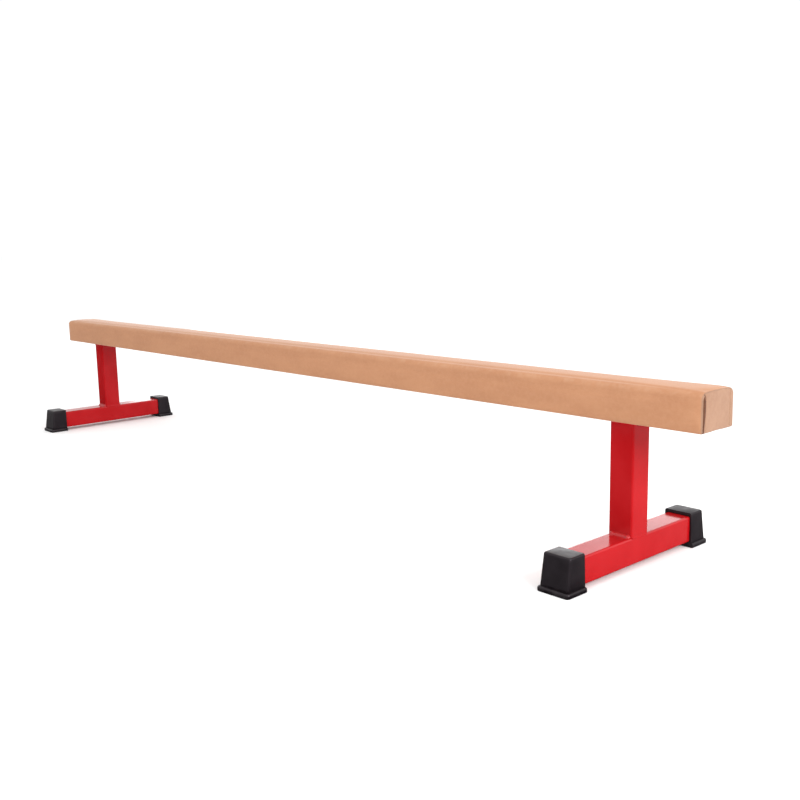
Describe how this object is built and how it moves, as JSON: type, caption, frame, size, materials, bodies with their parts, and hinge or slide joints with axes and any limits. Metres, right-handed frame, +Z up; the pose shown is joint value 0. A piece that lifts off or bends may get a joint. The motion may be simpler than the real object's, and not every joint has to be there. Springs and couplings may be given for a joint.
{
  "type": "balance beam",
  "caption": "Low gymnastics balance beam: suede-covered padded timber beam on two glossy inverted-T steel legs with black rubber foot caps.",
  "frame": {"origin": "floor level under the middle of the beam", "axes": "+X runs along the beam, +Y across it, +Z is up"},
  "size_m": [2.4, 0.432, 0.34],
  "materials": {
    "core_wood": "planed softwood, glued side by side",
    "foam": "closed-cell padding sheet",
    "suede": "short-napped synthetic suede, matt",
    "lining": "non-woven dust cloth, matt",
    "staple_steel": "zinc-plated wire",
    "red_paint": "glossy powder coat",
    "screw_steel": "black-zinc steel",
    "insert_brass": "machined",
    "rubber": "moulded, satin"
  },
  "bodies": {
    "root": {"core_stave_front": "core_wood", "core_stave_middle": "core_wood", "core_stave_rear": "core_wood", "foam_top_pad": "foam", "foam_side_pad_front": "foam", "foam_side_pad_rear": "foam", "foam_end_pad_right": "foam", "foam_end_pad_left": "foam", "suede_cover": "suede", "end_cover_right": "suede", "end_cover_left": "suede", "underside_strip": "lining", "cover_staples": "staple_steel", "right_mount_plate": "red_paint", "left_mount_plate": "red_paint", "right_post": "red_paint", "left_post": "red_paint", "right_base_tube": "red_paint", "left_base_tube": "red_paint", "right_plate_weld": "red_paint", "left_plate_weld": "red_paint", "right_foot_weld": "red_paint", "left_foot_weld": "red_paint", "right_plate_screws": "screw_steel", "left_plate_screws": "screw_steel", "right_threaded_inserts": "insert_brass", "left_threaded_inserts": "insert_brass", "right_front_foot_cap": "rubber", "right_rear_foot_cap": "rubber", "left_front_foot_cap": "rubber", "left_rear_foot_cap": "rubber"}
  },
  "joints": []
}
